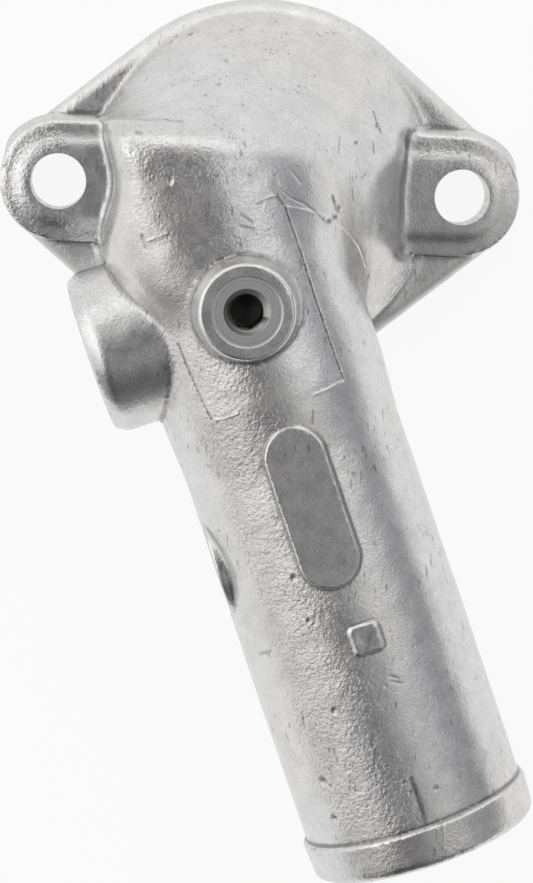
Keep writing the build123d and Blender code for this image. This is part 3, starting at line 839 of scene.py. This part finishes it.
# Short fine scratches from handling, in two directions
marks_group, hin, hout = new_group(
    "handling_marks", [("Vector", "Vector", None)], [("Dark", "Float"), ("Light", "Float")])
where = hin.outputs["Vector"]
for label, turn_by, limits in (("Dark", 0.9, (0.63, 0.70)), ("Light", -0.5, (0.66, 0.73))):
    lay = marks_group.nodes.new("ShaderNodeMapping")
    lay.inputs["Rotation"].default_value = (0.2, 0.1, turn_by)
    lay.inputs["Scale"].default_value = (1.0, 0.18, 1.0)
    marks_group.links.new(where, lay.inputs["Vector"])
    streak = range_node(marks_group, noise_node(marks_group, lay.outputs[0], 1500.0, 1.5, 0.5, 0.3), *limits)
    worn = range_node(marks_group, noise_node(marks_group, where, 110.0, 2.0, 0.5, 0.2), 0.46, 0.6)
    marks_group.links.new(math_node(marks_group, "MULTIPLY", streak, worn), hout.inputs[label])


def start_material(name):
    """New node material with its shader, object coordinates and a bump node."""
    made = bpy.data.materials.new(name)
    made.use_nodes = True
    tree = made.node_tree
    shader = tree.nodes["Principled BSDF"]
    shader.inputs["Metallic"].default_value = 1.0
    where = tree.nodes.new("ShaderNodeTexCoord").outputs["Object"]
    bump = tree.nodes.new("ShaderNodeBump")
    tree.links.new(bump.outputs[0], shader.inputs["Normal"])
    return made, tree, shader, where, bump


def grey(level):
    """Plain grey as a colour."""
    return (level, level, level, 1)


def cast_finish(name, tone_colour, cell, relief, rough_bias, sheen_low, sheen_high):
    """Bare cast aluminium, wrinkled where the mesh says so and finely toothed elsewhere."""
    made, tree, shader, where, bump = start_material(name)
    uneven = range_node(tree, noise_node(tree, where, 120.0, 3.0, 0.6, 0.6), 0.35, 0.65, 0.55, 1.15)
    rough = math_node(tree, "MULTIPLY_ADD", mesh_value(tree, "wrinkled"), uneven, rough_bias, clamp=True)
    skin = place_group(tree, grain, Vector=where, Rough=rough, Cell=cell)
    tree.links.new(skin.outputs["Height"], bump.inputs["Height"])
    bump.inputs["Strength"].default_value = 1.0
    bump.inputs["Distance"].default_value = relief
    metal = place_group(tree, tone, Vector=where, Tone=tone_colour, Spread=0.25)
    scuffs = place_group(tree, marks_group, Vector=where)
    bend, matte_and_painted_light = mesh_value(tree, "bend"), mesh_value(tree, "rim_matte_painted_light")
    colour = metal.outputs["Color"]
    for mask, share, towards in (
        (range_node(tree, bend, 0.25, 1.6), 0.25, (0.80, 0.80, 0.79, 1)),
        # Painted shade: darker in hollows
        (range_node(tree, bend, -0.28, -1.0), 0.7, (0.27, 0.265, 0.26, 1)),
        (skin.outputs["Speck"], 0.45, (0.22, 0.21, 0.205, 1)),
        # Painted highlight: the grain's glints
        (skin.outputs["Glint"], 0.35, (0.86, 0.86, 0.85, 1)),
        (scuffs.outputs["Dark"], 0.6, grey(0.22)),
        (scuffs.outputs["Light"], 0.5, grey(0.85)),
        # Darker about grooves and pits, and painted shade at the bead's foot, the label's right edge and the
        # low boss's face
        (mesh_value(tree, "dark_marks_and_painted_shade"), 0.85, grey(0.10)),
        # Painted highlight: lighter along ridges
        (mesh_value(tree, "ridge_painted_highlight"), 0.6, grey(0.90)),
        # The rim: matte, and painted lighter as painted light
        (matte_and_painted_light, 0.7, (0.84, 0.84, 0.83, 1)),
    ):
        colour = mix_colour(tree, math_node(tree, "MULTIPLY", mask, share), colour, towards)
    tree.links.new(colour, shader.inputs["Base Color"])
    dull = range_node(tree, noise_node(tree, where, 420.0, 3.0, 0.6, 0.4), 0.34, 0.66, sheen_low, sheen_high)
    dull = math_node(tree, "SUBTRACT", dull, math_node(tree, "MULTIPLY", skin.outputs["Glint"], 0.12))
    tree.links.new(math_node(tree, "MULTIPLY_ADD", matte_and_painted_light, 0.32, dull), shader.inputs["Roughness"])
    return made


def turned_finish(name, tone_colour, place, rings, relief, sheen):
    """Machined aluminium with the tool's fine rings."""
    made, tree, shader, where, bump = start_material(name)
    marks = place_group(tree, rings_group, Vector=where, Place=place, Rings=rings)
    tree.links.new(marks.outputs["Height"], bump.inputs["Height"])
    bump.inputs["Distance"].default_value = relief
    metal = place_group(tree, tone, Vector=where, Tone=tone_colour, Spread=0.10)
    tree.links.new(metal.outputs["Color"], shader.inputs["Base Color"])
    dull = range_node(tree, marks.outputs["Height"], 0.3, 0.7, sheen - 0.05, sheen + 0.08)
    tree.links.new(dull, shader.inputs["Roughness"])
    return made


boss_place = tuple(c * MM for c in tube_spot(TAPPED_S, TAPPED_Z))
finishes = [
    cast_finish("cast_skin", (0.69, 0.688, 0.68, 1), 1.0, 0.00017, 0.0, 0.22, 0.31),
    # The inside: rougher, and a darker copy of the skin as painted shade in the bore and cavity
    cast_finish("cast_inside", (0.50, 0.50, 0.49, 1), 1.3, 0.00012, 0.2, 0.52, 0.66),
    turned_finish("turned_seat", (0.70, 0.70, 0.695, 1), boss_place, 2600.0, 0.00003, 0.32),
    turned_finish("milled_face", (0.66, 0.66, 0.655, 1), (0.3, 0.2, 0.0), 1500.0, 0.00004, 0.36),
    # Painted shade: the threads in the holes, painted nearly black
    turned_finish("thread_painted_shade", (0.16, 0.155, 0.15, 1), boss_place, 900.0, 0.00002, 0.40),
]
housing.data.materials.clear()
for finish in finishes:
    housing.data.materials.append(finish)

# Which finish each face has, by its place
SKIN, INSIDE, TURNED, MILLED, THREADED = range(5)
centres = np.zeros(len(housing.data.polygons) * 3)
housing.data.polygons.foreach_get("center", centres)
cx, cy, cz = (centres.reshape(-1, 3) / MM).T
stations, acrosses = along_across(cx, cy)
from_hole = np.hypot(stations - TAPPED_S, acrosses)
from_port = np.hypot(stations - SENDER_S, cz - TUBE_Z)
kinds = np.where(cast_distance(cx, cy, cz) < -UNDER_SKIN, INSIDE, SKIN)
kinds[np.abs(cz) < 0.01] = MILLED
kinds[(from_hole < SEAT_DISC_R + 0.3) & (cz > 45.0)] = TURNED
kinds[(from_hole < HOLE_R + 0.8) & (cz > TUBE_Z) & (cz < seat_z - 0.9)] = THREADED
kinds[(from_port < PORT_R + 0.9) & (acrosses < -BORE_R + 1.0)] = THREADED
for side in (-1, 1):
    kinds[np.hypot(cx - side * BOLT_HALF, cy) < BOLT_HOLE_R + 0.05] = MILLED
housing.data.polygons.foreach_set("material_index", kinds.astype(np.int32))

# Floor, white to the camera and in reflections, and with a little of the part's shadow
half, level = 3000, -0.2
corners = [(-half, -half, level), (half, -half, level), (half, half, level), (-half, half, level)]
floor = mesh_object("floor", corners, [(0, 1, 2, 3)])
pale = bpy.data.materials.new("floor_white")
pale.use_nodes = True
tree = pale.node_tree
tree.nodes.clear()
out = tree.nodes.new("ShaderNodeOutputMaterial")
mix = tree.nodes.new("ShaderNodeMixShader")
white = tree.nodes.new("ShaderNodeBsdfDiffuse")
white.inputs["Color"].default_value = grey(0.9)
glow = tree.nodes.new("ShaderNodeEmission")
path = tree.nodes.new("ShaderNodeLightPath").outputs
seen = math_node(tree, "MAXIMUM", path["Is Camera Ray"], path["Is Glossy Ray"])
seen = math_node(tree, "MAXIMUM", seen, path["Is Transmission Ray"])
tree.links.new(math_node(tree, "MULTIPLY", seen, 0.90), mix.inputs[0])
tree.links.new(white.outputs[0], mix.inputs[1])
tree.links.new(glow.outputs[0], mix.inputs[2])
tree.links.new(mix.outputs[0], out.inputs["Surface"])
floor.data.materials.append(pale)

# World: a soft white room, dark overhead, bright to the left and behind, with a fainter window to the right
world = bpy.data.worlds.new("studio")
bpy.context.scene.world = world
world.use_nodes = True
tree = world.node_tree
tree.nodes.clear()
out = tree.nodes.new("ShaderNodeOutputWorld")
back = tree.nodes.new("ShaderNodeBackground")
parts = tree.nodes.new("ShaderNodeSeparateXYZ")
tree.links.new(tree.nodes.new("ShaderNodeTexCoord").outputs["Generated"], parts.inputs[0])


def room_light(axis, stops):
    """Light by one part of the direction, -1 to 1: stops of (part, grey) or (part, red, green, blue)."""
    ramp = tree.nodes.new("ShaderNodeValToRGB")
    while len(ramp.color_ramp.elements) < len(stops):
        ramp.color_ramp.elements.new(0.5)
    for element, (at, *light) in zip(ramp.color_ramp.elements, stops):
        element.position = (at + 1) / 2
        element.color = (*light, 1) if len(light) == 3 else grey(light[0])
    tree.links.new(math_node(tree, "MULTIPLY_ADD", parts.outputs[axis], 0.5, 0.5), ramp.inputs[0])
    return ramp.outputs["Color"]


across_room = room_light("X", [
    (-1.0, 0.97, 0.97, 0.945), (-0.80, 1.0, 0.98, 0.96), (-0.50, 1.0, 0.975, 0.955),
    (-0.41, 0.50, 0.485, 0.48), (-0.25, 0.18, 0.175, 0.18), (0.0, 0.145, 0.142, 0.147),
    (0.10, 0.285, 0.282, 0.29), (0.26, 0.35, 0.35, 0.355), (0.50, 0.56), (0.66, 0.54),
    (0.82, 0.36, 0.36, 0.38), (0.97, 0.32, 0.32, 0.335), (1.0, 0.34)])
near_dark = room_light("Y", [
    (-1.0, 0.50), (-0.80, 0.34), (-0.64, 0.34), (-0.48, 0.80), (-0.36, 1.0), (0.0, 1.0)])
along_room = room_light("Y", [
    (-1.0, 0.10), (-0.85, 0.0), (-0.30, 0.06), (-0.10, 0.02), (0.15, 0.0), (0.35, 0.07),
    (0.60, 0.46, 0.465, 0.445), (0.85, 0.68, 0.69, 0.66)])
room = vector_node(tree, "ADD", vector_node(tree, "MULTIPLY", across_room, near_dark), along_room)
room = vector_node(tree, "MINIMUM", room, (1.0, 1.0, 1.0))
seen = tree.nodes.new("ShaderNodeLightPath").outputs["Is Camera Ray"]
tree.links.new(mix_colour(tree, seen, room, grey(0.97)), back.inputs["Color"])
back.inputs["Strength"].default_value = 1.0
tree.links.new(back.outputs[0], out.inputs["Surface"])


def softbox(name, place, size, power):
    """Square lamp that faces the middle of the part."""
    data = bpy.data.lights.new(name, "AREA")
    data.shape, data.size, data.size_y, data.energy = "RECTANGLE", size[0], size[1], power
    lamp = bpy.data.objects.new(name, data)
    bpy.context.scene.collection.objects.link(lamp)
    lamp.location = place
    middle = Vector((0.0, -0.04, 0.02))
    lamp.rotation_euler = (middle - Vector(place)).to_track_quat("-Z", "Y").to_euler()


softbox("softbox_left", (-0.80, 0.20, 0.75), (0.9, 1.2), 1.5)
softbox("softbox_right", (0.62, 0.20, 0.95), (0.3, 0.9), 0.5)
softbox("softbox_back", (-0.1, 1.05, 0.75), (1.2, 0.7), 1.0)

# Camera, over the part as in the photograph
camera_data = bpy.data.cameras.new("camera")
camera = bpy.data.objects.new("camera", camera_data)
bpy.context.scene.collection.objects.link(camera)
camera.location = (-0.0191272, 0.0238629, 0.5602148)
camera.rotation_euler = Euler((-0.1187, -0.03459, 0.04151), "XYZ")
camera_data.sensor_fit, camera_data.sensor_width, camera_data.lens = "HORIZONTAL", 36.0, 229.643527
bpy.context.scene.camera = camera
bpy.context.scene.view_settings.view_transform = "Standard"
